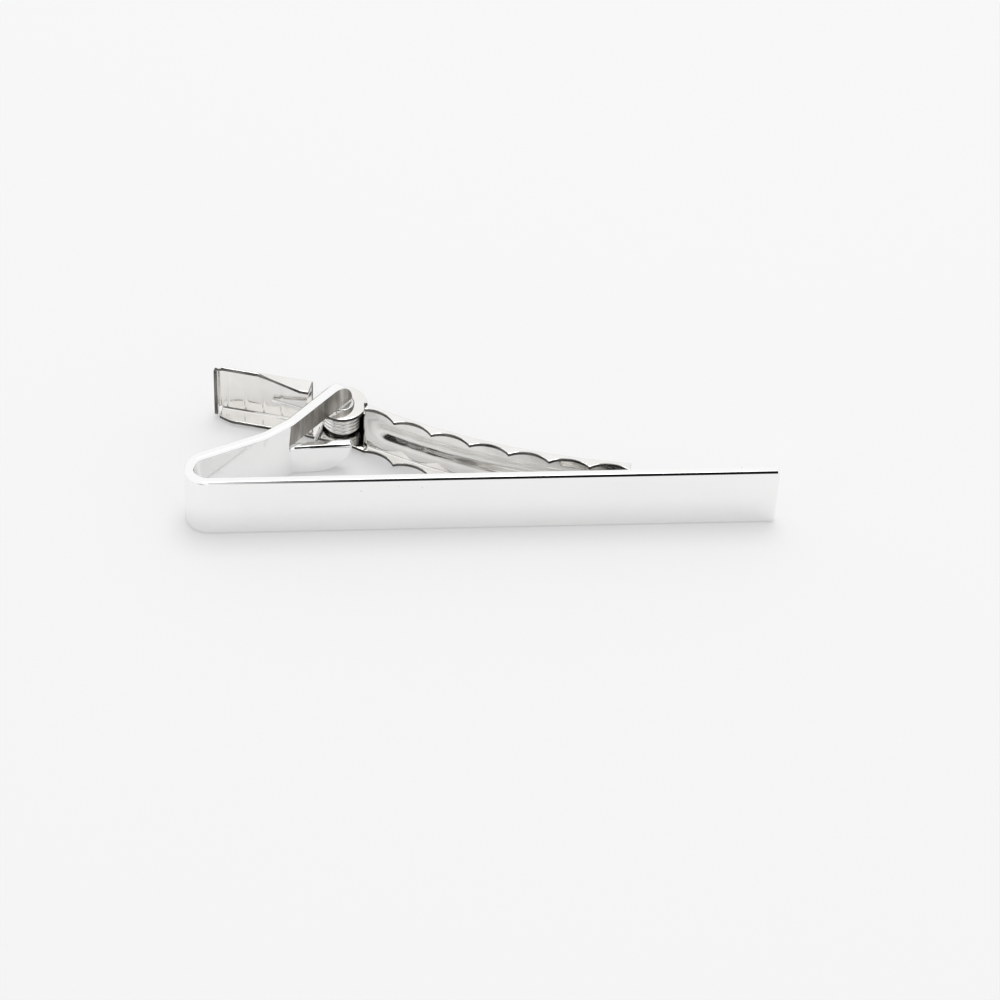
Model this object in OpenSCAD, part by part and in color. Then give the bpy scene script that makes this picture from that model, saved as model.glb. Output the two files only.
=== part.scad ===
/* [Bar] */
// Overall length of the bar, over the fold
bar_length = 54; // [48:0.5:60]
// Height of the bar as it stands on its long edge
bar_width = 6.35; // [6:0.05:7]
// Thickness of the bar's strip
strip_t = 0.95; // [0.85:0.05:1]
// Radius of the fold at the middle of the strip
fold_r = 1.75; // [1.5:0.05:2]
// Direction in which the strip comes back from the fold
return_dir = 23.4; // [22.4:0.2:24.4]
// Length of strip between the fold and the kick
return_run = 5.95; // [5.85:0.05:6.05]
// Direction of the strip after the kick, up to the slit
kick_dir = 36.6; // [35.6:0.2:37.6]
// Width of the slit that parts the two prongs
slit_w = 0.3; // [0.2:0.05:0.3]
// Height of the slit's lower side
slit_z = 3.3; // [3.2:0.05:3.4]

/* [Prongs] */
// Direction of the upper prong, which carries the hinge
upper_dir = 47.8; // [47.2:0.2:48.4]
// Distance from the upper prong's bend to the hinge axis
hinge_run = 7.05; // [7:0.02:7.1]
// Length of the upper prong beyond the hinge axis
upper_over = 1.15; // [1.1:0.01:1.3]
// Direction of the lower prong, which backs the spring
lower_dir = 3; // [2:0.5:3]
// Straight length of the lower prong
lower_run = 5.2; // [4.8:0.05:5.3]

/* [Hinge] */
// Radius of the stud in the jaw's ears
stud_r = 1.1; // [1:0.05:1.1]
// Radius of the tenon that is brazed into the upper prong
tenon_r = 0.28; // [0.2:0.02:0.28]
// Depth of the tenon in the prong
tenon_len = 1.3; // [1:0.1:1.5]
// Radius of the peened head under the lower ear
head_r = 1.5; // [1.4:0.05:1.6]
// Running clearance between the stud and the ears, on the radius
run_gap = 0.03; // [0.02:0.01:0.05]
// End play between the ears and their neighbours
end_gap = 0.05; // [0.04:0.01:0.06]

/* [Spring] */
// Diameter of the spring wire
wire_d = 0.4; // [0.35:0.01:0.42]
// Radius of the coil at the middle of the wire
coil_r = 1.64; // [1.6:0.01:1.66]
// Whole turns of the coil, before the part turn between its legs
coil_turns = 4; // [4:1:5]
// Length of the leg that lies along the lever
lever_leg = 6.4; // [5:0.1:7]
// Length of the leg that bears on the lower prong
prong_leg = 5.38; // [5:0.02:5.38]

/* [Jaw] */
// Thickness of the jaw's sheet
sheet_t = 0.35; // [0.3:0.01:0.36]
// Height of the jaw's lower side
jaw_z = 0.35; // [0.33:0.01:0.4]
// Height of the jaw's upper side
jaw_top = 5.95; // [5.8:0.01:6.1]
// Direction of the thumb lever from the hinge axis
lever_dir = 164.4; // [163.4:0.2:165.4]
// Length of the thumb lever from the hinge axis
lever_len = 12.05; // [11.8:0.05:12.2]
// Distance from the hinge axis to the lever's outer side
lever_off = 0.05; // [0.03:0.01:0.06]
// Depth of the lever's side flanges
flange_d = 1.9; // [1.7:0.05:1.9]
// Pitch of the pressed grip ribs on the lever
rib_pitch = 1.75; // [1.7:0.01:1.8]

/* [Arm] */
// Distance of the arm's tip from the bar's middle
tip_x = 13.4; // [13.3:0.05:13.5]
// Radius of the arc that the arm's teeth lie on
arm_r = 61.5; // [61.4:0.05:61.6]
// Slope of the arm at its tip
tip_slope = 7.9; // [7.8:0.1:8]
// Angle of arm between one tooth and the next
tooth_step = 3.49; // [3.48:0.01:3.5]
// Number of arches cut between the teeth
arches = 7; // [7:1:7]
// Depth of an arch
arch_d = 0.7; // [0.5:0.05:0.8]
// Depth of the arm's side flanges at the teeth
arm_d = 1.4; // [1.3:0.05:1.5]
// Radius of the stiffening bead pressed along the arm
bead_r = 0.75; // [0.6:0.05:0.8]

/* [Hidden] */
round_fn = 96;
arc_fn = 256;
wire_sides = 8;
turn_rings = 24;
kick_r = 4;
kick_run = 2.1;
prong_bend_r = 3;
lower_bend_r = 1.4;
bend_step = 4;
tip_gap = 0.03;
eps = 0.01;

// A point moved along a heading, and the end of a bend of radius r through angle a.
function ahead(p, h, run) = p + run * [cos(h), sin(h)];
function side(a) = a > 0 ? 1 : -1;
function bend_centre(p, h, r, a) = p + side(a) * r * [-sin(h), cos(h)];
function bend_end(p, h, r, a) = bend_centre(p, h, r, a) + side(a) * r * [sin(h + a), -cos(h + a)];

// One side of a bent strip: the points at a distance off to the left of its middle line.
function bend_side(p, h, r, a, off) =
    let (c = bend_centre(p, h, r, a), n = ceil(abs(a) / bend_step), reach = side(a) * r - off)
    [for (i = [0:n]) let (g = h + a * i / n) c + reach * [sin(g), -cos(g)]];

// The middle line of the strip, from the fold to both prongs.
fold_start = [-bar_length / 2 + fold_r + strip_t / 2, strip_t / 2];
fold_end = bend_end(fold_start, 180, fold_r, return_dir - 180);
kick_start = ahead(fold_end, return_dir, return_run);
kick_end = bend_end(kick_start, return_dir, kick_r, kick_dir - return_dir);
crotch = ahead(kick_end, kick_dir, kick_run);
upper_start = bend_end(crotch, kick_dir, prong_bend_r, upper_dir - kick_dir);
lower_start = bend_end(crotch, kick_dir, lower_bend_r, lower_dir - kick_dir);
pivot = ahead(upper_start, upper_dir, hinge_run);

// One side of the strip's plan as far as the crotch, and on to the tip of a prong.
function trunk_side(off) = concat(
    [[bar_length / 2, strip_t / 2 - off]],
    bend_side(fold_start, 180, fold_r, return_dir - 180, off),
    bend_side(kick_start, return_dir, kick_r, kick_dir - return_dir, off),
    [ahead(crotch, kick_dir + 90, off)]);
function prong_side(dir, r, run, off) = concat(
    trunk_side(off),
    bend_side(crotch, kick_dir, r, dir - kick_dir, off),
    [ahead(ahead(bend_end(crotch, kick_dir, r, dir - kick_dir), dir + 90, off), dir, run)]);
function reversed(list) = [for (i = [len(list) - 1:-1:0]) list[i]];

// Heights along the stud.
upper_z = slit_z + slit_w;
upper_h = bar_width - upper_z;
ear_top = upper_z - end_gap;
ear_z = ear_top - sheet_t;
low_ear_top = jaw_z + sheet_t;
head_top = jaw_z - end_gap;
head_z = 0.08;
coil_z0 = low_ear_top + end_gap + wire_d / 2;
coil_z1 = ear_z - end_gap - wire_d / 2;

// The jaw: the knuckle round the coil, the root wall, and the arm's arc.
knuckle_r = 2.3;
ear_r = knuckle_r + 0.05;
tongue_run = 3.3;
knuckle_from = -10;
knuckle_to = 125;
root_x = pivot.x + knuckle_r;
arm_c = [tip_x + arm_r * sin(tip_slope), strip_t + tip_gap + arm_r * cos(tip_slope)];
root_slope = tip_slope + arches * tooth_step;
back_r = arm_r - arm_d;
root_back = arm_c - back_r * [sin(root_slope), cos(root_slope)];
root_tooth = arm_c - arm_r * [sin(root_slope), cos(root_slope)];
arch_chord = 2 * arm_r * sin(tooth_step / 2);
bead_d = 0.25;
bead_stop = 2;
arch_r = (pow(arch_chord / 2, 2) + pow(arch_d, 2)) / (2 * arch_d);
wall_top = pivot.y - 0.9;

// The part's origin is under the middle of its box.
lever_back = pivot.y + lever_len * sin(lever_dir) + lever_off * cos(lever_dir);
frame_y = -lever_back / 2;

// The spring: its legs' headings, and the angles at which the coil takes them in.
leg_tilt = 8.6;
lever_leg_dir = lever_dir - leg_tilt;
prong_leg_dir = 251;
leg_in = prong_leg_dir - 90;
leg_out = lever_leg_dir + 90;
sweep = 360 * coil_turns + (leg_in - leg_out + 360);
rings = round(sweep / 360 * turn_rings);
function coil_point(a, z) = [pivot.x + coil_r * cos(a), pivot.y + coil_r * sin(a), z];
function along(a, run) = run * [cos(a), sin(a), 0];
spring_path = concat(
    [coil_point(leg_in, coil_z0) + along(prong_leg_dir, prong_leg)],
    [for (i = [0:rings])
        coil_point(leg_in - sweep * i / rings, coil_z0 + (coil_z1 - coil_z0) * i / rings)],
    [coil_point(leg_out, coil_z1) + along(lever_leg_dir, lever_leg)]);

// A sector of a ring about the arm's centre, between two slopes.
module arm_ring(r0, r1, s0, s1, z0, z1) {
    translate([arm_c.x, arm_c.y, 0])
        rotate(-90 - s1)
            rotate_extrude(angle = s1 - s0, $fn = arc_fn)
                translate([r0, z0]) square([r1 - r0, z1 - z0]);
}

// A layer of the strip between two heights, from its left and right sides in plan.
module strip_layer(left, right, z0, z1) {
    translate([0, 0, z0]) linear_extrude(z1 - z0) polygon(concat(left, reversed(right)));
}

// What is cut off a prong's tip to round its outer corner: the slit is at height 0, and h is its height.
module tip_cut(start, dir, run, h) {
    translate([start.x, start.y, 0]) rotate(dir) translate([run - h, strip_t, 0]) rotate([90, 0, 0])
        linear_extrude(2 * strip_t) difference() {
            square(2 * h);
            circle(r = h, $fn = round_fn);
        }
}

module bar() {
    half = strip_t / 2;
    upper_run = hinge_run + upper_over;
    color("silver")
    translate([0, frame_y, 0])
    difference() {
        union() {
            strip_layer(prong_side(lower_dir, lower_bend_r, lower_run, half),
                prong_side(lower_dir, lower_bend_r, lower_run, -half), 0, slit_z);
            strip_layer(trunk_side(half), trunk_side(-half), slit_z, upper_z);
            strip_layer(prong_side(upper_dir, prong_bend_r, upper_run, half),
                prong_side(upper_dir, prong_bend_r, upper_run, -half), upper_z, bar_width);
        }
        translate([0, 0, upper_z]) tip_cut(upper_start, upper_dir, upper_run, upper_h);
        translate([0, 0, slit_z]) mirror([0, 0, 1]) tip_cut(lower_start, lower_dir, lower_run, slit_z);
        translate([pivot.x, pivot.y, upper_z - 1])
            cylinder(h = tenon_len + 1, r = tenon_r, $fn = round_fn);
    }
}

module hinge_stud() {
    color("gainsboro")
    translate([pivot.x, pivot.y + frame_y, 0]) {
        translate([0, 0, head_z]) cylinder(h = head_top - head_z, r = head_r, $fn = round_fn);
        translate([0, 0, head_top]) cylinder(h = upper_z - head_top, r = stud_r, $fn = round_fn);
        translate([0, 0, upper_z]) cylinder(h = tenon_len, r = tenon_r, $fn = round_fn);
    }
}

// A round wire swept along a path that climbs but never turns back on itself.
module wire(path, d, sides) {
    n = len(path);
    heading = [for (i = [0:n - 1])
        let (v = path[min(i + 1, n - 1)] - path[max(i - 1, 0)]) v / norm(v)];
    points = [for (i = [0:n - 1])
        let (out = cross(heading[i], [0, 0, 1]), u = out / norm(out), w = cross(u, heading[i]))
        for (k = [0:sides - 1])
            path[i] + d / 2 * (cos(360 * k / sides) * u + sin(360 * k / sides) * w)];
    walls = [for (i = [0:n - 2], k = [0:sides - 1])
        let (a = i * sides + k, b = i * sides + (k + 1) % sides)
        [a, b, b + sides, a + sides]];
    first = [for (k = [sides - 1:-1:0]) k];
    last = [for (k = [0:sides - 1]) (n - 1) * sides + k];
    polyhedron(points = points, faces = concat([first], walls, [last]), convexity = 10);
}

module torsion_spring() {
    color("lightgray")
    translate([0, frame_y, 0]) wire(spring_path, wire_d, wire_sides);
}

// The lever's own frame: x runs out along the lever, y to its outer side.
module on_lever() {
    translate([pivot.x, pivot.y, 0]) rotate(lever_dir) children();
}

module lever() {
    web_in = 2.75;
    flange_end = 9.9;
    upper_flange_from = 3.6;
    upper_flange_to = 7.8;
    lip_d = 1.1;
    rib_r = 0.25;
    rib_in = 0.05;
    rib_from = 5.7;
    on_lever() {
        translate([web_in, lever_off, jaw_z])
            cube([lever_len - web_in, sheet_t, jaw_top - jaw_z]);
        translate([0, 0, jaw_z]) linear_extrude(sheet_t)
            polygon([[web_in, lever_off], [web_in, lever_off + flange_d],
                [flange_end, lever_off + flange_d], [lever_len, lever_off + lip_d],
                [lever_len, lever_off]]);
        translate([0, 0, jaw_top - sheet_t]) linear_extrude(sheet_t)
            polygon([[web_in, lever_off], [web_in, lever_off + flange_d],
                [upper_flange_from, lever_off + flange_d], [upper_flange_to, lever_off + sheet_t],
                [upper_flange_to, lever_off]]);
        translate([lever_len - sheet_t, lever_off, jaw_z])
            cube([sheet_t, lip_d, jaw_top - jaw_z]);
        for (i = [0:3])
            translate([rib_from + i * rib_pitch, lever_off + rib_in, jaw_z + 2 * sheet_t])
                cylinder(h = jaw_top - jaw_z - 4 * sheet_t, r = rib_r, $fn = round_fn);
    }
}

// The flat ears: a disc about the stud that caps the knuckle, and a tongue to the lever.
module ear_plan(corner) {
    translate([pivot.x, pivot.y]) {
        circle(r = ear_r, $fn = round_fn);
        rotate(lever_dir)
            polygon([[0, -ear_r / 2], [tongue_run, lever_off + eps], [tongue_run, lever_off + flange_d - eps],
                corner, [0, ear_r - eps]]);
    }
}

module lower_ear() {
    translate([0, 0, jaw_z]) linear_extrude(sheet_t) {
        ear_plan([tongue_run, lever_off + 2.4]);
        polygon([[pivot.x, pivot.y - ear_r + eps], ahead(root_tooth, 90, eps), ahead(root_back, 0, -eps),
            [root_x - sheet_t / 2, pivot.y], [pivot.x, pivot.y]]);
    }
}

module knuckle() {
    translate([pivot.x, pivot.y, 0]) rotate(knuckle_from)
        rotate_extrude(angle = knuckle_to - knuckle_from, $fn = round_fn)
            translate([knuckle_r - sheet_t, jaw_z + sheet_t / 2])
                square([sheet_t, ear_top - jaw_z - sheet_t]);
    translate([0, 0, ear_z]) linear_extrude(sheet_t) ear_plan([2.2, lever_off + flange_d]);
    lower_ear();
}

module root_wall() {
    foot = root_back.y - 0.15;
    translate([root_x - sheet_t, foot, jaw_z])
        cube([sheet_t, wall_top - foot, jaw_top - jaw_z]);
    translate([root_x - sheet_t, foot, jaw_z])
        cube([sheet_t, pivot.y - foot, ear_top - jaw_z]);
}

// A round profile of radius r swept along the arm's bead, kept behind the web's inner side by the limit.
module arm_bead(r, limit) {
    inner = back_r + sheet_t;
    translate([arm_c.x, arm_c.y, (jaw_z + jaw_top) / 2]) rotate(-90 - root_slope + bead_stop)
        rotate_extrude(angle = root_slope - tip_slope - 2 * bead_stop, $fn = arc_fn)
            intersection() {
                translate([inner + bead_r - bead_d, 0]) circle(r = r, $fn = round_fn);
                translate([inner + limit - 2 * r, -r]) square([2 * r, 2 * r]);
            }
}

module arm() {
    difference() {
        union() {
            arm_bead(bead_r + sheet_t, -sheet_t / 4);
            arm_ring(back_r, back_r + sheet_t, tip_slope, root_slope, jaw_z, jaw_top);
            arm_ring(back_r, arm_r, tip_slope, root_slope, jaw_z, jaw_z + sheet_t);
            arm_ring(back_r, arm_r, tip_slope, root_slope, jaw_top - sheet_t, jaw_top);
        }
        for (k = [0:arches - 1]) {
            s = tip_slope + (k + 0.5) * tooth_step;
            out = arm_r * cos(tooth_step / 2) + arch_r - arch_d;
            translate([arm_c.x - out * sin(s), arm_c.y - out * cos(s), 0])
                cylinder(h = bar_width, r = arch_r, $fn = round_fn);
        }
        arm_bead(bead_r, bead_r);
    }
}

module clasp_jaw() {
    color("silver")
    translate([0, frame_y, 0])
    difference() {
        union() {
            lever();
            knuckle();
            root_wall();
            arm();
        }
        translate([pivot.x, pivot.y, 0])
            cylinder(h = bar_width, r = stud_r + run_gap, $fn = round_fn);
    }
}

bar();
hinge_stud();
torsion_spring();
clasp_jaw();
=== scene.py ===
"""A tie bar with a sprung clasp: the bent bar, the hinge stud, the torsion spring and the pressed jaw."""

import logging
import math
from dataclasses import dataclass, field
from enum import Enum
from typing import Callable

import bmesh
import bpy
from mathutils import Matrix, Vector

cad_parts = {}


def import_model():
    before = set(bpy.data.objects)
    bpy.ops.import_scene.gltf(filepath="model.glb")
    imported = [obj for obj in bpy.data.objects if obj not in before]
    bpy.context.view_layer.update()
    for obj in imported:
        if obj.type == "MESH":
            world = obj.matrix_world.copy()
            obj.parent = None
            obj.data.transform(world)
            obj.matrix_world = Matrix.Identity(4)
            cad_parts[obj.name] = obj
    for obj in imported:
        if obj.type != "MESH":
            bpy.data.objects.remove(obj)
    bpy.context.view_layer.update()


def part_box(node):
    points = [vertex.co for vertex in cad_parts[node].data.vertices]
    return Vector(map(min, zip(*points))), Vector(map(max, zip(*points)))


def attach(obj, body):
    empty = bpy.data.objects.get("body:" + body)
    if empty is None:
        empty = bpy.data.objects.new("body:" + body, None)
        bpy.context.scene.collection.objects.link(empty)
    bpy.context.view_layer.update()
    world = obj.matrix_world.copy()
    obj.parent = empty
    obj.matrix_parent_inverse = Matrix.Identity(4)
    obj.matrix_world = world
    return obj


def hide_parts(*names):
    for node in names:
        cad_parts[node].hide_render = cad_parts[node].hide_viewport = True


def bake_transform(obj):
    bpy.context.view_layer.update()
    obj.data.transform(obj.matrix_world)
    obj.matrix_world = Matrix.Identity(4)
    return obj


Mesh, Edge, Vert = bmesh.types.BMesh, bmesh.types.BMEdge, bmesh.types.BMVert
Tree, Node, Socket = bpy.types.NodeTree, bpy.types.Node, bpy.types.NodeSocket
Material, Object = bpy.types.Material, bpy.types.Object

LOG = logging.getLogger("tie_bar")
MM = 0.001
UP = Vector((0.0, 0.0, 1.0))


class Slot(Enum):
    """The record's material slots."""

    PLATE = "polished_plate"
    STUD = "stud_steel"
    WIRE = "spring_wire"
    SHEET = "jaw_sheet"


class Body(Enum):
    """The bodies that the pieces ride on."""

    BAR = "bar"
    JAW = "jaw"


# ---------------------------------------------------------------- geometry


def heading_vector(degrees: float) -> Vector:
    """Returns the level unit vector that points along a heading."""
    angle = math.radians(degrees)
    return Vector((math.cos(angle), math.sin(angle), 0.0))


def smooth_ramp(value: float) -> float:
    """Returns 0 below 0, 1 above 1, and an eased value between."""
    held = min(max(value, 0.0), 1.0)
    return held * held * (3.0 - 2.0 * held)


def swell(distance: float, reach: float) -> float:
    """Returns 1 at no distance, easing to 0 at the reach and beyond."""
    return smooth_ramp(1.0 - abs(distance) / reach)


def arc_points(centre: Vector, radius: float, start: float, end: float, steps: int) -> list[Vector]:
    """Lays points along a level arc, between two directions from its centre in degrees."""
    turns = [start + (end - start) * i / steps for i in range(steps + 1)]
    return [centre + radius * heading_vector(turn) for turn in turns]


def spread_rows(low: float, high: float, count: int) -> list[float]:
    """Returns evenly spread heights after low, up to and with high."""
    return [low + (high - low) * (i + 1) / count for i in range(count)]


class SheetBender:
    """Draws sheet metal as its middle surface, by carrying a column of edges forward and round bends."""

    def __init__(self, mesh: Mesh, column: list[Edge], point: Vector, heading: float):
        """Takes up a column.

        Args:
            mesh: The mesh that the sheet is drawn in.
            column: The chain of edges that is carried forward.
            point: Where the sheet's line stands in plan.
            heading: The direction in which it goes on, in degrees.
        """
        self.mesh = mesh
        self.column = column
        self.point = point.copy()
        self.heading = heading

    @classmethod
    def standing(cls, mesh: Mesh, point: Vector, heading: float, heights: list[float]) -> "SheetBender":
        """Starts a sheet as an upright column of edges with vertices at the given heights."""
        verts = [mesh.verts.new((point.x, point.y, z)) for z in heights]
        return cls(mesh, [mesh.edges.new(pair) for pair in zip(verts, verts[1:])], point, heading)

    def verts(self) -> list[Vert]:
        """Returns the column's vertices, from the lowest up."""
        found = {v for edge in self.column for v in edge.verts}
        return sorted(found, key=lambda v: v.co.z)

    def straight(self, run: float, steps: int = 1) -> "SheetBender":
        """Carries the column straight on.

        Args:
            run: The length of sheet.
            steps: How many rows of faces it takes.

        Returns:
            This bender.
        """
        step = heading_vector(self.heading) * (run / steps)
        for _ in range(steps):
            made = bmesh.ops.extrude_edge_only(self.mesh, edges=self.column)["geom"]
            moved = {item for item in made if isinstance(item, Vert)}
            bmesh.ops.translate(self.mesh, verts=list(moved), vec=step)
            self.column = [e for e in made if isinstance(e, Edge) and set(e.verts) <= moved]
        self.point += heading_vector(self.heading) * run
        return self

    def bend(self, radius: float, angle: float, steps: int) -> "SheetBender":
        """Carries the column round a bend.

        Args:
            radius: The bend's radius at the middle surface.
            angle: The change of heading in degrees, to the left if above 0.
            steps: How many rows of faces it takes.

        Returns:
            This bender.
        """
        side = 1.0 if angle > 0 else -1.0
        centre = self.point + heading_vector(self.heading + 90.0 * side) * radius
        self._spin(centre, UP, math.radians(angle), steps)
        self.point = centre + heading_vector(self.heading + angle - 90.0 * side) * radius
        self.heading += angle
        return self

    def round_off(self, corner_height: float, angle: float, steps: int) -> None:
        """Ends the sheet in a disc's sector, struck from the column's end at a height, through an angle."""
        centre = Vector((self.point.x, self.point.y, corner_height))
        self._spin(centre, heading_vector(self.heading + 90.0), math.radians(angle), steps)

    def branch(self, low: float, high: float) -> "SheetBender":
        """Returns a bender that goes on from the part of the column between two heights."""
        part = [e for e in self.column if all(low - 1e-6 <= v.co.z <= high + 1e-6 for v in e.verts)]
        return SheetBender(self.mesh, part, self.point, self.heading)

    def _spin(self, centre: Vector, axis: Vector, angle: float, steps: int) -> None:
        """Turns the column about an axis and takes up its last place."""
        verts = list({v for edge in self.column for v in edge.verts})
        last = bmesh.ops.spin(
            self.mesh,
            geom=verts + self.column,
            cent=centre,
            axis=axis,
            angle=angle,
            steps=steps,
        )["geom_last"]
        self.column = [item for item in last if isinstance(item, Edge)]


def chain(mesh: Mesh, points: list[Vector], closed: bool = False) -> list[Edge]:
    """Joins points into a chain of edges.

    Args:
        mesh: The mesh to draw in.
        points: The chain's points in order.
        closed: Whether the last point is joined to the first.

    Returns:
        The edges.
    """
    verts = [mesh.verts.new(point) for point in points]
    ends = verts[1:] + ([verts[0]] if closed else [])
    return [mesh.edges.new(pair) for pair in zip(verts, ends)]


def channel_section(
    depth: float, back: float, low: float, high: float, radius: float, rows: list[float]
) -> list[Vector]:
    """Draws the middle line of a channel that is open on one side.

    Args:
        depth: The place of the flanges' free edges.
        back: The place of the web.
        low: The lower flange's height.
        high: The upper flange's height.
        radius: The radius of the bends between web and flanges.
        rows: The heights of the web's own points.

    Returns:
        Points whose x runs from the web to the open side and whose z is the height.
    """
    flange_rows = 5
    bend_steps = 6
    start = back + radius
    flange = [start + (depth - start) * (1.0 - i / flange_rows) for i in range(flange_rows)]
    turns = [math.radians(90.0 * i / bend_steps) for i in range(bend_steps + 1)]
    rises = [(radius * math.sin(t), radius * (1 - math.cos(t))) for t in turns]
    lower_bend = [Vector((start - across, 0.0, low + rise)) for across, rise in rises]
    upper_bend = [Vector((p.x, 0.0, high + low - p.z)) for p in reversed(lower_bend)]
    lower = [Vector((x, 0.0, low)) for x in flange]
    upper = [Vector((x, 0.0, high)) for x in reversed(flange)]
    web = [Vector((back, 0.0, z)) for z in rows]
    return lower + lower_bend + web + upper_bend + upper


# ---------------------------------------------------------------- node groups


def new_group(name: str, inputs: dict[str, float], outputs: list[str]) -> tuple:
    """Starts a shader node group.

    Args:
        name: The group's name.
        inputs: The names of its number inputs, with their defaults.
        outputs: The names of its number outputs.

    Returns:
        The group's tree, its input node and its output node.
    """
    tree = bpy.data.node_groups.new(name, "ShaderNodeTree")
    place = tree.interface.new_socket("Place", in_out="INPUT", socket_type="NodeSocketVector")
    place.hide_value = True
    for label, value in inputs.items():
        tree.interface.new_socket(label, in_out="INPUT", socket_type="NodeSocketFloat").default_value = value
    for label in outputs:
        tree.interface.new_socket(label, in_out="OUTPUT", socket_type="NodeSocketFloat")
    return tree, tree.nodes.new("NodeGroupInput"), tree.nodes.new("NodeGroupOutput")


def math_node(tree: Tree, operation: str, first: Socket | float, second: Socket | float) -> Socket:
    """Adds a Math node whose inputs are sockets or numbers, and returns its output."""
    node = tree.nodes.new("ShaderNodeMath")
    node.operation = operation
    for socket, value in zip(node.inputs, (first, second)):
        if isinstance(value, Socket):
            tree.links.new(value, socket)
        else:
            socket.default_value = value
    return node.outputs["Value"]


def stretched(tree: Tree, place: Socket, scale: tuple, turn: tuple = (0.0, 0.0, 0.0)) -> Socket:
    """Adds a Mapping node that turns and stretches a pattern, and returns its output."""
    node = tree.nodes.new("ShaderNodeMapping")
    node.inputs["Rotation"].default_value = [math.radians(a) for a in turn]
    node.inputs["Scale"].default_value = scale
    tree.links.new(place, node.inputs["Vector"])
    return node.outputs["Vector"]


def noise(tree: Tree, place: Socket, scale: Socket | float, detail: float) -> Socket:
    """Adds a Noise Texture and returns its value."""
    node = tree.nodes.new("ShaderNodeTexNoise")
    node.inputs["Detail"].default_value = detail
    tree.links.new(place, node.inputs["Vector"])
    if isinstance(scale, Socket):
        tree.links.new(scale, node.inputs["Scale"])
    else:
        node.inputs["Scale"].default_value = scale
    return node.outputs["Fac"]


def ranged(
    tree: Tree,
    value: Socket,
    low: Socket | float,
    high: Socket | float,
    out_low: float = 0.0,
    out_high: float = 1.0,
) -> Socket:
    """Adds a smooth Map Range node and returns its output."""
    node = tree.nodes.new("ShaderNodeMapRange")
    node.interpolation_type = "SMOOTHSTEP"
    tree.links.new(value, node.inputs["Value"])
    for label, number in (("From Min", low), ("From Max", high), ("To Min", out_low), ("To Max", out_high)):
        if isinstance(number, Socket):
            tree.links.new(number, node.inputs[label])
        else:
            node.inputs[label].default_value = number
    return node.outputs["Result"]


class GroupShop:
    """Builds the node groups that the finishes share, once each."""

    def __init__(self) -> None:
        """Builds every group."""
        self.hairlines = self._hairlines()
        self.specks = self._specks()
        self.mottle = self._mottle()

    def _hairlines(self) -> Tree:
        """Returns fine polishing scratches that cross each other at several turns."""
        tree, start, end = new_group("hairlines", {"Scale": 900.0, "Cover": 0.4}, ["Mask"])
        total = None
        for turn, share in ((4.0, 0.42), (38.0, 0.5), (-27.0, 0.5), (81.0, 0.55)):
            lined = stretched(tree, start.outputs["Place"], (0.02, 1.0, 1.0), (turn, turn * 0.7, turn))
            value = noise(tree, lined, start.outputs["Scale"], 1.0)
            thin = ranged(tree, value, 0.60 + 0.1 * share, 0.76)
            total = thin if total is None else math_node(tree, "MAXIMUM", total, thin)
        tree.links.new(math_node(tree, "MULTIPLY", total, start.outputs["Cover"]), end.inputs["Mask"])
        return tree

    def _specks(self) -> Tree:
        """Returns sparse pinholes and dust, as round spots of mixed size."""
        tree, start, end = new_group("specks", {"Scale": 900.0, "Size": 0.12, "Cover": 0.5}, ["Mask"])
        cells = tree.nodes.new("ShaderNodeTexVoronoi")
        tree.links.new(start.outputs["Place"], cells.inputs["Vector"])
        tree.links.new(start.outputs["Scale"], cells.inputs["Scale"])
        spot = ranged(tree, cells.outputs["Distance"], start.outputs["Size"], 0.0)
        patchy = noise(tree, start.outputs["Place"], 260.0, 2.0)
        few = ranged(tree, patchy, 0.58, 0.70)
        mask = math_node(tree, "MULTIPLY", math_node(tree, "MULTIPLY", spot, few), start.outputs["Cover"])
        tree.links.new(mask, end.inputs["Mask"])
        return tree

    def _mottle(self) -> Tree:
        """Returns the slow unevenness of rolled or plated metal, from 0 to 1."""
        tree, start, end = new_group("mottle", {"Scale": 300.0, "Contrast": 0.5}, ["Mask"])
        broad = noise(tree, start.outputs["Place"], start.outputs["Scale"], 3.0)
        centred = math_node(tree, "SUBTRACT", broad, 0.5)
        scaled = math_node(tree, "MULTIPLY", centred, start.outputs["Contrast"])
        tree.links.new(math_node(tree, "ADD", scaled, 0.5), end.inputs["Mask"])
        return tree


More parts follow.
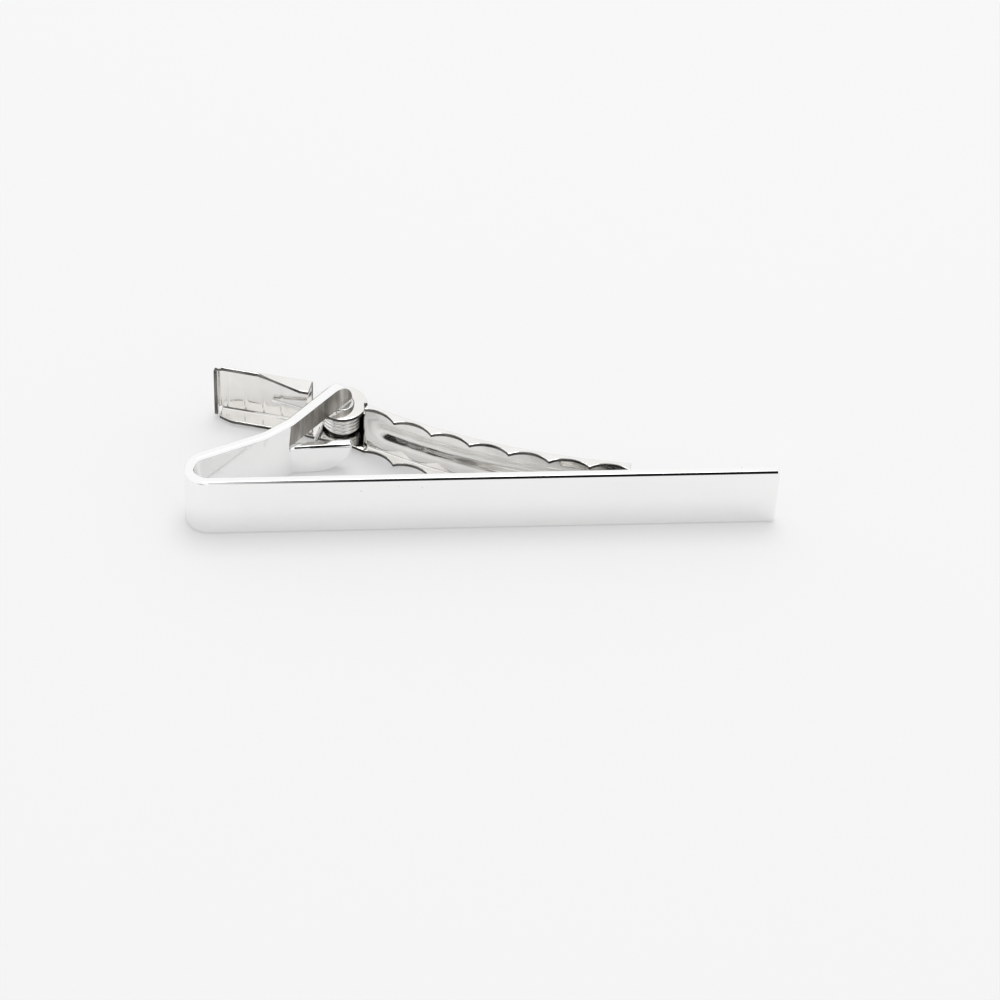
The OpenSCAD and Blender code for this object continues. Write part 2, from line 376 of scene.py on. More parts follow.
@dataclass(frozen=True)
class MetalFinish:
    """A bright metal finish and the wear that it shows."""

    name: str
    colour: tuple[float, float, float]
    dull: tuple[float, float, float]
    roughness: float
    rough_worn: float
    hairline_scale: float
    hairline_cover: float
    hairline_height: float
    mottle_scale: float
    mottle_contrast: float
    speck_scale: float
    speck_cover: float
    ripple_scale: float
    ripple_height: float
    grain: tuple[float, float, float] = (1.0, 1.0, 1.0)

    def material(self, shop: GroupShop) -> Material:
        """Builds the finish's material.

        Args:
            shop: The shared node groups.

        Returns:
            The material.
        """
        made = bpy.data.materials.new(self.name)
        made.use_nodes = True
        tree = made.node_tree
        shader = tree.nodes["Principled BSDF"]
        shader.inputs["Metallic"].default_value = 1.0
        coords = tree.nodes.new("ShaderNodeTexCoord").outputs["Object"]
        place = stretched(tree, coords, self.grain)
        scale, cover = self.hairline_scale, self.hairline_cover
        lines = self._group(tree, shop.hairlines, place, Scale=scale, Cover=cover)
        scale, cover = self.speck_scale, self.speck_cover
        spots = self._group(tree, shop.specks, coords, Scale=scale, Cover=cover)
        scale, contrast = self.mottle_scale, self.mottle_contrast
        patches = self._group(tree, shop.mottle, place, Scale=scale, Contrast=contrast)
        self._colour(tree, shader, patches, spots)
        self._roughness(tree, shader, patches, lines, spots)
        self._relief(tree, shader, coords, lines, spots)
        return made

    @staticmethod
    def _group(tree: Tree, group: Tree, place: Socket, **values: float) -> Socket:
        """Places a node group with its own values and returns its mask."""
        node = tree.nodes.new("ShaderNodeGroup")
        node.node_tree = group
        tree.links.new(place, node.inputs["Place"])
        for label, value in values.items():
            node.inputs[label].default_value = value
        return node.outputs["Mask"]

    def _colour(self, tree: Tree, shader: Node, patches: Socket, spots: Socket) -> None:
        """Mixes the bright colour with the dull one in patches, and darkens the specks."""
        base = tree.nodes.new("ShaderNodeMix")
        base.data_type = "RGBA"
        base.inputs["A"].default_value = (*self.dull, 1.0)
        base.inputs["B"].default_value = (*self.colour, 1.0)
        tree.links.new(patches, base.inputs["Factor"])
        dark = tree.nodes.new("ShaderNodeMix")
        dark.data_type = "RGBA"
        dark.inputs["B"].default_value = (0.16, 0.15, 0.14, 1.0)
        tree.links.new(spots, dark.inputs["Factor"])
        tree.links.new(base.outputs["Result"], dark.inputs["A"])
        tree.links.new(dark.outputs["Result"], shader.inputs["Base Color"])

    def _roughness(self, tree: Tree, shader: Node, patches: Socket, lines: Socket, spots: Socket) -> None:
        """Makes the scratches and specks rougher than the polished ground."""
        roughened = math_node(tree, "MAXIMUM", lines, spots)
        ground = ranged(tree, patches, 0.0, 1.0, self.roughness * 1.3, self.roughness * 0.7)
        rise = math_node(tree, "MULTIPLY", roughened, self.rough_worn)
        tree.links.new(math_node(tree, "ADD", ground, rise), shader.inputs["Roughness"])

    def _relief(self, tree: Tree, shader: Node, coords: Socket, lines: Socket, spots: Socket) -> None:
        """Lays a slow ripple under the scratches, as one height."""
        ripple = noise(tree, coords, self.ripple_scale, 1.0)
        height = math_node(tree, "MULTIPLY", ripple, self.ripple_height)
        cut = math_node(tree, "MULTIPLY", math_node(tree, "ADD", lines, spots), self.hairline_height)
        bump = tree.nodes.new("ShaderNodeBump")
        bump.inputs["Strength"].default_value = 1.0
        bump.inputs["Distance"].default_value = MM
        tree.links.new(math_node(tree, "SUBTRACT", height, cut), bump.inputs["Height"])
        tree.links.new(bump.outputs["Normal"], shader.inputs["Normal"])


POLISHED_PLATE = MetalFinish(
    name="rhodium_plate",
    colour=(0.965, 0.965, 0.96),
    dull=(0.93, 0.93, 0.925),
    roughness=0.07,
    rough_worn=0.12,
    hairline_scale=1500.0,
    hairline_cover=0.35,
    hairline_height=0.0006,
    mottle_scale=160.0,
    mottle_contrast=0.8,
    speck_scale=900.0,
    speck_cover=0.6,
    ripple_scale=120.0,
    ripple_height=0.002,
)
JAW_SHEET = MetalFinish(
    name="nickelled_sheet",
    colour=(0.94, 0.93, 0.91),
    dull=(0.80, 0.785, 0.76),
    roughness=0.10,
    rough_worn=0.15,
    hairline_scale=1300.0,
    hairline_cover=0.5,
    hairline_height=0.001,
    mottle_scale=420.0,
    mottle_contrast=1.3,
    speck_scale=1300.0,
    speck_cover=0.6,
    ripple_scale=420.0,
    ripple_height=0.012,
)
# Painted shade and painted reflection: the upper prong's plate is darkened, and its mottle is stretched into
# streaks, to stand in for the shade and the mirrored arm on the prong's inner face.
SHADED_PRONG_PLATE = MetalFinish(
    name="prong_plate_painted_shade",
    colour=(0.46, 0.44, 0.41),
    dull=(0.15, 0.138, 0.126),
    roughness=0.33,
    rough_worn=0.2,
    hairline_scale=1300.0,
    hairline_cover=0.6,
    hairline_height=0.0015,
    mottle_scale=520.0,
    mottle_contrast=3.0,
    speck_scale=900.0,
    speck_cover=0.6,
    ripple_scale=300.0,
    ripple_height=0.004,
    grain=(1.6, 1.6, 0.16),
)
SHEARED_EDGE = MetalFinish(
    name="sheared_edge",
    colour=(0.22, 0.21, 0.20),
    dull=(0.03, 0.028, 0.026),
    roughness=0.26,
    rough_worn=0.2,
    hairline_scale=1600.0,
    hairline_cover=0.5,
    hairline_height=0.002,
    mottle_scale=520.0,
    mottle_contrast=2.6,
    speck_scale=1500.0,
    speck_cover=0.6,
    ripple_scale=900.0,
    ripple_height=0.006,
)
SPRING_WIRE = MetalFinish(
    name="drawn_spring_wire",
    colour=(0.90, 0.90, 0.89),
    dull=(0.72, 0.71, 0.70),
    roughness=0.13,
    rough_worn=0.15,
    hairline_scale=2400.0,
    hairline_cover=0.5,
    hairline_height=0.001,
    mottle_scale=900.0,
    mottle_contrast=1.0,
    speck_scale=2400.0,
    speck_cover=0.5,
    ripple_scale=1500.0,
    ripple_height=0.003,
)
STUD_STEEL = MetalFinish(
    name="turned_stud_steel",
    colour=(0.84, 0.84, 0.83),
    dull=(0.66, 0.65, 0.64),
    roughness=0.16,
    rough_worn=0.15,
    hairline_scale=2000.0,
    hairline_cover=0.5,
    hairline_height=0.0015,
    mottle_scale=800.0,
    mottle_contrast=1.0,
    speck_scale=1800.0,
    speck_cover=0.5,
    ripple_scale=700.0,
    ripple_height=0.004,
    grain=(1.0, 1.0, 5.0),
)


# ---------------------------------------------------------------- pieces


@dataclass
class Layout:
    """Places that the pieces share, in millimetres, taken from the frame."""

    front: float
    pivot: Vector
    half_length: float
    width: float

    @classmethod
    def from_frame(cls) -> "Layout":
        """Reads the layout off the CAD nodes' boxes."""
        low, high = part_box("bar")
        stud_low, stud_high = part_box("hinge_stud")
        pivot = (stud_low + stud_high) / 2 / MM
        pivot.z = 0.0
        return cls(low.y / MM, pivot, (high.x - low.x) / 2 / MM, high.z / MM)


@dataclass
class Edging:
    """How a piece's sharp edges are finished: a flat chamfer, then a small round."""

    width: float
    segments: int = 2
    chamfer: float = 0.0
    angle: float = 30.0


class Piece:
    """A made piece: turns a mesh in millimetres into an object in metres, in place of a CAD node."""

    def __init__(self, name: str, body: Body, slot: Slot, replaced: str):
        """Names the piece.

        Args:
            name: The object's name.
            body: The body that it rides on; stored, but not used.
            slot: The record's slot for its finish; stored, but not used.
            replaced: The CAD node that it stands for.
        """
        self.name = name
        self.body = body
        self.slot = slot
        self.replaced = replaced

    def place(self, mesh: Mesh, *finishes: Material) -> Object:
        """Puts the mesh into the scene, in metres.

        Args:
            mesh: The finished mesh, which is freed.
            finishes: The materials to dress it in, in the order of the faces' own numbers.

        Returns:
            The object.
        """
        bmesh.ops.scale(mesh, vec=(MM, MM, MM), verts=mesh.verts)
        for face in mesh.faces:
            face.smooth = True
        data = bpy.data.meshes.new(self.name)
        mesh.to_mesh(data)
        mesh.free()
        for finish in finishes:
            data.materials.append(finish)
        made = bpy.data.objects.new(self.name, data)
        bpy.context.scene.collection.objects.link(made)
        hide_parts(self.replaced)
        return made

    @staticmethod
    def thicken(made: Object, thickness: float, edging: Edging, edge_finish: int) -> None:
        """Gives a middle surface its thickness and eased edges.

        Args:
            made: The object.
            thickness: The sheet's thickness in millimetres.
            edging: How its edges are finished.
            edge_finish: How far on in the piece's materials the cut edges' one is from the faces' own.
        """
        shell = made.modifiers.new("thickness", "SOLIDIFY")
        shell.thickness = thickness * MM
        shell.offset = 0.0
        shell.use_even_offset = True
        shell.use_quality_normals = True
        shell.material_offset_rim = edge_finish
        Piece.ease(made, edging)

    @staticmethod
    def ease(made: Object, edging: Edging) -> None:
        """Rounds a piece's sharp edges and evens its shading."""
        cuts = (("chamfer", edging.chamfer, 1), ("eased_edges", edging.width, edging.segments))
        for label, width, segments in cuts:
            if width > 0:
                cut = made.modifiers.new(label, "BEVEL")
                cut.width = width * MM
                cut.segments = segments
                cut.limit_method = "ANGLE"
                cut.use_clamp_overlap = False
                cut.angle_limit = math.radians(edging.angle)
        even = made.modifiers.new("even_shading", "WEIGHTED_NORMAL")
        even.keep_sharp = True
        even.weight = 60


@dataclass
class Bar:
    """The bar: one strip, folded at its left end and slit there into two prongs."""

    layout: Layout
    strip: float = 0.95
    fold_radius: float = 1.75
    return_heading: float = 23.4
    return_run: float = 5.95
    kick_heading: float = 36.6
    kick_radius: float = 4.0
    kick_run: float = 2.1
    slit: tuple[float, float] = (3.3, 3.6)
    upper_heading: float = 47.8
    upper_radius: float = 3.0
    upper_run: float = 8.2
    lower_heading: float = 3.0
    lower_radius: float = 1.4
    lower_run: float = 5.2
    edging: Edging = field(default_factory=lambda: Edging(0.03, chamfer=0.2))

    def build(self, finish: Material, roughened: Material) -> Object:
        """Bends the strip and slits it.

        Args:
            finish: The polished plate.
            roughened: The plate on the upper prong, darkened and streaked as painted shade and painted
                reflection of the arm on the prong's inner face.

        Returns:
            The bar.
        """
        mesh = bmesh.new()
        start = Vector((self.layout.half_length, self.layout.front + self.strip / 2, 0.0))
        low, high = self.slit
        sheet = SheetBender.standing(mesh, start, 180.0, [0.0, low, high, self.layout.width])
        sheet.straight(2 * self.layout.half_length - self.fold_radius - self.strip / 2, 8)
        sheet.bend(self.fold_radius, self.return_heading - 180.0, 52)
        sheet.straight(self.return_run)
        sheet.bend(self.kick_radius, self.kick_heading - self.return_heading, 8)
        sheet.straight(self.kick_run)
        # The upper prong's faces take the second finish. Its darker, streaky colour is painted shade and
        # painted reflection.
        before = set(mesh.faces)
        upper = sheet.branch(high, self.layout.width)
        self._prong(upper, self.upper_radius, self.upper_heading, self.upper_run, high)
        for face in set(mesh.faces) - before:
            face.material_index = 1
        self._prong(sheet.branch(0.0, low), self.lower_radius, self.lower_heading, self.lower_run, low)
        bmesh.ops.remove_doubles(mesh, verts=mesh.verts, dist=1e-4)
        bmesh.ops.recalc_face_normals(mesh, faces=mesh.faces)
        piece = Piece("bar_strip", Body.BAR, Slot.PLATE, "bar")
        made = piece.place(mesh, finish, roughened)
        piece.thicken(made, self.strip, self.edging, -1)
        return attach(made, Body.BAR.value)

    def _prong(self, sheet: SheetBender, radius: float, heading: float, run: float, corner: float) -> None:
        """Bends one prong away and rounds its outer corner.

        Args:
            sheet: The bender, at the slit's root.
            radius: The radius of the prong's bend.
            heading: The prong's heading.
            run: Its straight length, with the rounded tip.
            corner: The height of its side at the slit, which the tip is struck from.
        """
        heights = [v.co.z for v in sheet.verts()]
        reach = heights[-1] - heights[0]
        sheet.bend(radius, heading - sheet.heading, 14)
        sheet.straight(run - reach, 2)
        turn = 90.0 if heights[-1] > corner + 1e-6 else -90.0
        sheet.round_off(corner, turn, 24)


@dataclass
class HingeStud:
    """The stud that the jaw turns on, with a head peened over the lower ear."""

    layout: Layout
    shank_radius: float = 1.1
    head_radius: float = 1.5
    head_low: float = 0.08
    head_high: float = 0.3
    top: float = 3.6

    def build(self, finish: Material) -> Object:
        """Turns the stud from its profile.

        Args:
            finish: The stud's steel.

        Returns:
            The stud.
        """
        mesh = bmesh.new()
        rim = 0.09
        profile = [
            (0.0, self.head_low + 0.05),
            (0.35, self.head_low + 0.04),
            (0.55, self.head_low),
            (self.head_radius - rim, self.head_low),
            (self.head_radius - 0.03, self.head_low + 0.03),
            (self.head_radius, self.head_low + rim),
            (self.head_radius, self.head_high - 0.04),
            (self.head_radius - 0.04, self.head_high),
            (self.shank_radius, self.head_high),
            (self.shank_radius, self.top - 0.05),
            (self.shank_radius - 0.05, self.top),
            (0.0, self.top),
        ]
        points = [self.layout.pivot + Vector((r, 0.0, z)) for r, z in profile]
        edges = chain(mesh, points)
        bmesh.ops.spin(
            mesh,
            geom=list(mesh.verts) + edges,
            cent=self.layout.pivot,
            axis=UP,
            angle=2 * math.pi,
            steps=72,
            use_merge=True,
        )
        bmesh.ops.remove_doubles(mesh, verts=mesh.verts, dist=1e-4)
        bmesh.ops.recalc_face_normals(mesh, faces=mesh.faces)
        piece = Piece("hinge_stud_turned", Body.BAR, Slot.STUD, "hinge_stud")
        made = piece.place(mesh, finish)
        piece.ease(made, Edging(0.02))
        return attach(made, Body.BAR.value)


@dataclass
class TorsionSpring:
    """The spring round the stud: a leg on the lower prong, the coil, and a leg along the lever."""

    layout: Layout
    wire: float = 0.4
    radius: float = 1.64
    low: float = 0.95
    high: float = 2.95
    turns: int = 4
    prong_heading: float = 251.0
    prong_leg: float = 5.38
    lever_heading: float = 155.8
    lever_leg: float = 6.4
    sides: int = 16
    steps_per_turn: int = 40

    def build(self, finish: Material) -> Object:
        """Winds the wire, with a leg that reaches to each body.

        Args:
            finish: The spring wire.

        Returns:
            The spring.
        """
        mesh = bmesh.new()
        leg_in = self.prong_heading - 90.0
        leg_out = self.lever_heading + 90.0
        sweep = 360.0 * self.turns + leg_in - leg_out + 360.0
        joint = self.layout.pivot + self.radius * heading_vector(leg_in) + self.low * UP
        travel = heading_vector(self.prong_heading + 180.0)
        facing = travel.to_track_quat("Z", "Y").to_matrix().to_4x4()
        place = Matrix.Translation(joint - self.prong_leg * travel) @ facing
        ring = bmesh.ops.create_circle(
            mesh, cap_ends=False, segments=self.sides, radius=self.wire / 2, matrix=place
        )["verts"]
        loop = list({e for v in ring for e in v.link_edges})
        self._cap(mesh, loop)
        loop = self._carry(mesh, loop, travel * self.prong_leg, 4)
        steps = round(sweep / 360.0 * self.steps_per_turn)
        last = bmesh.ops.spin(
            mesh,
            geom=list({v for e in loop for v in e.verts}) + loop,
            cent=self.layout.pivot,
            axis=UP,
            dvec=UP * ((self.high - self.low) / steps),
            angle=-math.radians(sweep),
            steps=steps,
        )["geom_last"]
        loop = [item for item in last if isinstance(item, Edge)]
        loop = self._carry(mesh, loop, heading_vector(self.lever_heading) * self.lever_leg, 4)
        self._cap(mesh, loop)
        bmesh.ops.recalc_face_normals(mesh, faces=mesh.faces)
        rims = [e for e in mesh.edges if e.calc_face_angle(0.0) > math.radians(60)]
        bmesh.ops.bevel(
            mesh, geom=rims, offset=0.06, segments=3, profile=0.5, affect="EDGES", material=-1
        )
        made = Piece("torsion_spring_coil", Body.BAR, Slot.WIRE, "torsion_spring").place(mesh, finish)
        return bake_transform(made)

    @staticmethod
    def _cap(mesh: Mesh, loop: list[Edge]) -> None:
        """Closes the wire's end with one face."""
        bmesh.ops.edgeloop_fill(mesh, edges=loop)

    @staticmethod
    def _carry(mesh: Mesh, loop: list, travel: Vector, steps: int) -> list:
        """Carries the wire's ring straight on, and returns the last ring."""
        for _ in range(steps):
            made = bmesh.ops.extrude_edge_only(mesh, edges=loop)["geom"]
            moved = {item for item in made if isinstance(item, Vert)}
            bmesh.ops.translate(mesh, verts=list(moved), vec=travel / steps)
            loop = [e for e in made if isinstance(e, Edge) and set(e.verts) <= moved]
        return loop


@dataclass
class ClaspJaw:
    """The jaw: a thumb lever, two ears about the stud, and a bowed arm with teeth, pressed from one sheet."""

    layout: Layout
    sheet: float = 0.35
    low: float = 0.35
    high: float = 5.95
    bend_radius: float = 0.4
    lever_heading: float = 164.4
    lever_length: float = 12.05
    lever_start: float = 2.75
    lever_offset: float = 0.05
    flange: float = 1.9
    lip: float = 1.1
    rib_from: float = 5.7
    rib_pitch: float = 1.75
    rib_reach: float = 0.24
    rib_depth: float = 0.07
    ribs: int = 4
    lower_taper_from: float = 9.9
    upper_taper: tuple[float, float] = (3.6, 7.8)
    bore: float = 1.13
    ear_radius: float = 2.35
    upper_ear: float = 3.375
    knuckle: float = 2.125
    knuckle_turn: float = 125.0
    tip_x: float = 13.4
    arm_radius: float = 61.5
    tip_slope: float = 7.9
    tooth_step: float = 3.49
    arches: int = 7
    arch_depth: float = 0.7
    arm_depth: float = 1.4
    tip_gap: float = 0.98
    root_radius: float = 0.5
    wall_steps: int = 8
    shoulder: float = 1.5
    wall_short: float = 0.9
    tongue_reach: float = 3.3
    ear_step: float = 0.004
    lip_spread: float = 0.85
    rib_fade: float = 0.5
    groove_run_out: float = 2.0
    groove_tip_gap: float = 0.6
    groove_depth: float = 0.42
    groove_reach: float = 1.35
    edging: Edging = field(default_factory=lambda: Edging(0.06))

    def __post_init__(self) -> None:
        """Works out the heights and the arm's centre."""
        self.floor_z = self.low + self.sheet / 2
        self.roof_z = self.high - self.sheet / 2
        slope = math.radians(self.tip_slope)
        self.arm_centre = Vector(
            (
                self.tip_x + self.arm_radius * math.sin(slope),
                self.layout.front + self.tip_gap + self.arm_radius * math.cos(slope),
                0.0,
            )
        )
        self.web_radius = self.arm_radius - self.arm_depth + self.sheet / 2
        self.root_x = self.layout.pivot.x + self.knuckle
        reach = self.arm_centre.x - self.root_x - self.root_radius
        self.root_slope = math.degrees(math.asin(reach / (self.web_radius - self.root_radius)))

    def build(self, finish: Material, cut: Material) -> Object:
        """Presses the jaw.

        Args:
            finish: The nickelled sheet.
            cut: The finish of its sheared edges.

        Returns:
            The jaw.
        """
        mesh = bmesh.new()
        self._arm(mesh)
        self._lever(mesh)
        self._ear(mesh, self.floor_z + self.ear_step, self._lower_outline())
        self._ear(mesh, self.upper_ear, self._upper_outline())
        bmesh.ops.remove_doubles(mesh, verts=mesh.verts, dist=1e-3)
        bmesh.ops.recalc_face_normals(mesh, faces=mesh.faces)
        piece = Piece("clasp_jaw_pressed", Body.JAW, Slot.SHEET, "clasp_jaw")
        made = piece.place(mesh, finish, cut)
        piece.thicken(made, self.sheet, self.edging, 1)
        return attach(made, Body.JAW.value)

    def _web_rows(self) -> list[float]:
        """Returns the heights of a web's rows, one of which is the upper ear's."""
        start = self.floor_z + self.bend_radius
        end = self.roof_z - self.bend_radius
        return spread_rows(start, self.upper_ear, 16) + spread_rows(self.upper_ear, end, 13)[:-1]

    def _arm(self, mesh: Mesh) -> None:
        """Draws the arm, and carries its web on round the root and the knuckle."""
        section = channel_section(
            self.arm_radius, self.web_radius, self.floor_z, self.roof_z, self.bend_radius, self._web_rows()
        )
        across = -heading_vector(90.0 - self.tip_slope)
        points = [self.arm_centre + across * p.x + UP * p.z for p in section]
        column = chain(mesh, points)
        start = self.arm_centre + across * self.web_radius
        bender = SheetBender(mesh, column, start, 180.0 - self.tip_slope)
        columns = round((self.root_slope - self.tip_slope) / self.tooth_step * 24)
        bender.bend(self.web_radius, self.tip_slope - self.root_slope, columns)
        self._shape_arm(mesh)
        inner = self.bend_radius
        web = bender.branch(self.floor_z + inner, self.roof_z - inner)
        web.bend(self.root_radius, 90.0 - web.heading, 8)
        wall_top = self.layout.pivot.y - self.wall_short
        rise = (wall_top - web.point.y) / self.wall_steps
        for step in range(self.wall_steps):
            drop = self.shoulder * smooth_ramp(step / (self.wall_steps - 1))
            web.straight(rise)
            self._spread_wall(web, self.roof_z - self.bend_radius - drop)
        wall = web.branch(self.floor_z, self.upper_ear)
        wall.straight(self.layout.pivot.y - wall.point.y, 2)
        wall.bend(self.knuckle, self.knuckle_turn, 36)

    def _shape_arm(self, mesh: Mesh) -> None:
        """Cuts the arches into the flanges and presses the groove into the web."""
        start = self.web_radius + self.bend_radius
        middle = (self.floor_z + self.roof_z) / 2
        for vert in mesh.verts:
            out = vert.co - self.arm_centre
            height = out.z
            out.z = 0.0
            radius = out.length
            slope = math.degrees(math.atan2(-out.x, -out.y))
            if radius > start + 1e-4:
                share = (radius - start) / (self.arm_radius - start)
                radius -= share * self._arch(slope)
            else:
                radius -= self._groove(slope) * swell(height - middle, self.groove_reach)
            vert.co = self.arm_centre + out.normalized() * radius + UP * height

    def _arch(self, slope: float) -> float:
        """Returns how deep the arches are cut at a slope."""
        chord = 2 * self.arm_radius * math.sin(math.radians(self.tooth_step / 2))
        curve = (chord**2 / 4 + self.arch_depth**2) / (2 * self.arch_depth)
        phase = (slope - self.tip_slope) / self.tooth_step
        off = (phase - math.floor(phase + 1e-6) - 0.5) * chord
        return max(math.sqrt(max(curve**2 - off**2, 0.0)) - (curve - self.arch_depth), 0.0)

    def _groove(self, slope: float) -> float:
        """Returns how deep the web's groove is at a slope, run out at both ends."""
        from_ends = min(slope - self.tip_slope - self.groove_tip_gap, self.root_slope - slope)
        return self.groove_depth * smooth_ramp(from_ends / self.groove_run_out)

    def _spread_wall(self, web: SheetBender, top: float) -> None:
        """Spreads the wall's newest column, and leaves the upper ear's row where it is.

        Args:
            web: The bender that holds the column.
            top: The height that the column's upper end is set to.
        """
        verts = web.verts()
        ear = self.upper_ear
        down = (ear - self.floor_z) / (ear - verts[0].co.z)
        up = (top - ear) / (verts[-1].co.z - ear)
        for vert in verts:
            vert.co.z = ear + (vert.co.z - ear) * (down if vert.co.z < ear else up)

    def _on_lever(self, x: float, y: float, z: float = 0.0) -> Vector:
        """Returns a point given along the lever, out from it, and up."""
        ahead = heading_vector(self.lever_heading)
        out = heading_vector(self.lever_heading + 90.0)
        return self.layout.pivot + ahead * x + out * y + UP * z

    def _lever(self, mesh: Mesh) -> None:
        """Draws the lever's channel with its grip ribs and its end lip."""
        back = self.lever_offset + self.sheet / 2
        depth = self.lever_offset + self.flange
        rows = self._web_rows()
        section = channel_section(depth, back, self.floor_z, self.roof_z, self.bend_radius, rows)
        column = chain(mesh, [self._on_lever(self.lever_start, p.x, p.z) for p in section])
        bender = SheetBender(mesh, column, self._on_lever(self.lever_start, back), self.lever_heading)
        before = set(mesh.verts) - {v for e in column for v in e.verts}
        end = self.lever_length - self.sheet / 2 - self.bend_radius
        bender.straight(end - self.lever_start, 90)
        lever = [v for v in mesh.verts if v not in before]
        self._shape_lever(lever, back)
        web = bender.branch(self.floor_z + self.bend_radius, self.roof_z - self.bend_radius)
        web.bend(self.bend_radius, 90.0, 8)
        self._spread_lip(web)
        web.straight(self.lip - self.sheet / 2 - self.bend_radius, 2)

    def _spread_lip(self, web: SheetBender) -> None:
        """Widens the lip towards the flanges' full height."""
        middle = (self.floor_z + self.roof_z) / 2
        wide = (self.high - self.low) / (self.roof_z - self.floor_z - 2 * self.bend_radius)
        for vert in web.verts():
            vert.co.z = middle + (vert.co.z - middle) * (1 + (wide - 1) * self.lip_spread)

    def _shape_lever(self, verts: list[Vert], back: float) -> None:
        """Tapers the flanges towards the lever's end and presses the ribs.

        Args:
            verts: The lever's vertices.
            back: The web's place out from the lever's axis.
        """
        ahead = heading_vector(self.lever_heading)
        out = heading_vector(self.lever_heading + 90.0)
        start = back + self.bend_radius
        upper_from, upper_to = self.upper_taper
        top = self.roof_z - self.bend_radius
        bottom = self.floor_z + self.bend_radius
        for vert in verts:
            local = vert.co - self.layout.pivot
            x, y = local.dot(ahead), local.dot(out)
            if y > start + 1e-4:
                if vert.co.z > self.upper_ear:
                    share = min(max((x - upper_from) / (upper_to - upper_from), 0.0), 1.0)
                else:
                    run = self.lever_length - self.lower_taper_from
                    share = smooth_ramp((x - self.lower_taper_from) / run) * (1.0 - self.lip / self.flange)
                shift = -(y - start) * share
            else:
                edge = smooth_ramp(min(top - vert.co.z, vert.co.z - bottom) / self.rib_fade)
                places = (self.rib_from + i * self.rib_pitch for i in range(self.ribs))
                shift = -self.rib_depth * edge * max(swell(x - place, self.rib_reach) for place in places)
            vert.co += out * shift

    def _lower_outline(self) -> list[Vector]:
        """Returns the lower ear's outline: the disc, the tongue to the lever and the web to the arm."""
        pivot = self.layout.pivot
        rim = self.arm_radius - self.arch_depth / 2
        slope = math.radians(self.root_slope)
        away = Vector((-math.sin(slope), -math.cos(slope), 0.0))
        disc = arc_points(pivot, self.ear_radius, 0.0, self._tangent(self.lever_offset), 36)
        reach = self.tongue_reach
        edge = self.lever_offset + self.flange
        tongue = [self._on_lever(reach, self.lever_offset), self._on_lever(reach, edge)]
        corner = [self._on_lever(reach - 0.5, self.lever_offset + 2.1)]
        front = arc_points(pivot, self.ear_radius, self.lever_heading + 90.0, 272.0, 8)
        root = [self.arm_centre + away * rim, self.arm_centre + away * self.web_radius]
        return disc + tongue + corner + front + root

    def _upper_outline(self) -> list[Vector]:
        """Returns the upper ear's outline: the disc and a short tongue to the lever."""
        pivot = self.layout.pivot
        around = arc_points(
            pivot, self.ear_radius, self.lever_heading + 90.0, 360.0 + self._tangent(self.lever_offset), 60
        )
        edge = self.lever_offset + self.flange
        reach = self.tongue_reach
        tongue = [self._on_lever(reach, self.lever_offset), self._on_lever(reach, edge - 0.3)]
        return around + tongue + [self._on_lever(2.2, edge)]

    def _tangent(self, offset: float) -> float:
        """Returns the direction at which the tongue's back side leaves the disc."""
        reach = Vector((self.tongue_reach, offset))
        open_angle = math.degrees(math.acos(self.ear_radius / reach.length))
        return self.lever_heading + math.degrees(math.atan2(reach.y, reach.x)) - open_angle

    def _ear(self, mesh: Mesh, height: float, outline: list[Vector]) -> None:
        """Fills an ear's outline round its bore.

        Args:
            mesh: The mesh to draw in.
            height: The height of the ear's middle.
            outline: The outline's points in plan.
        """
        pivot = self.layout.pivot
        bore = arc_points(pivot, self.bore, 0.0, 360.0, 48)[:-1]
        rim = chain(mesh, [p + UP * height for p in outline], closed=True)
        hole = chain(mesh, [p + UP * height for p in bore], closed=True)
        bmesh.ops.triangle_fill(mesh, edges=rim + hole, use_beauty=True, use_dissolve=False)


# ---------------------------------------------------------------- surroundings


@dataclass(frozen=True)
class DarkPatch:
    """A soft-edged dark card in the surroundings, which the polished metal mirrors."""

    azimuth: float
    elevation: float
    inner: float
    outer: float
    level: float


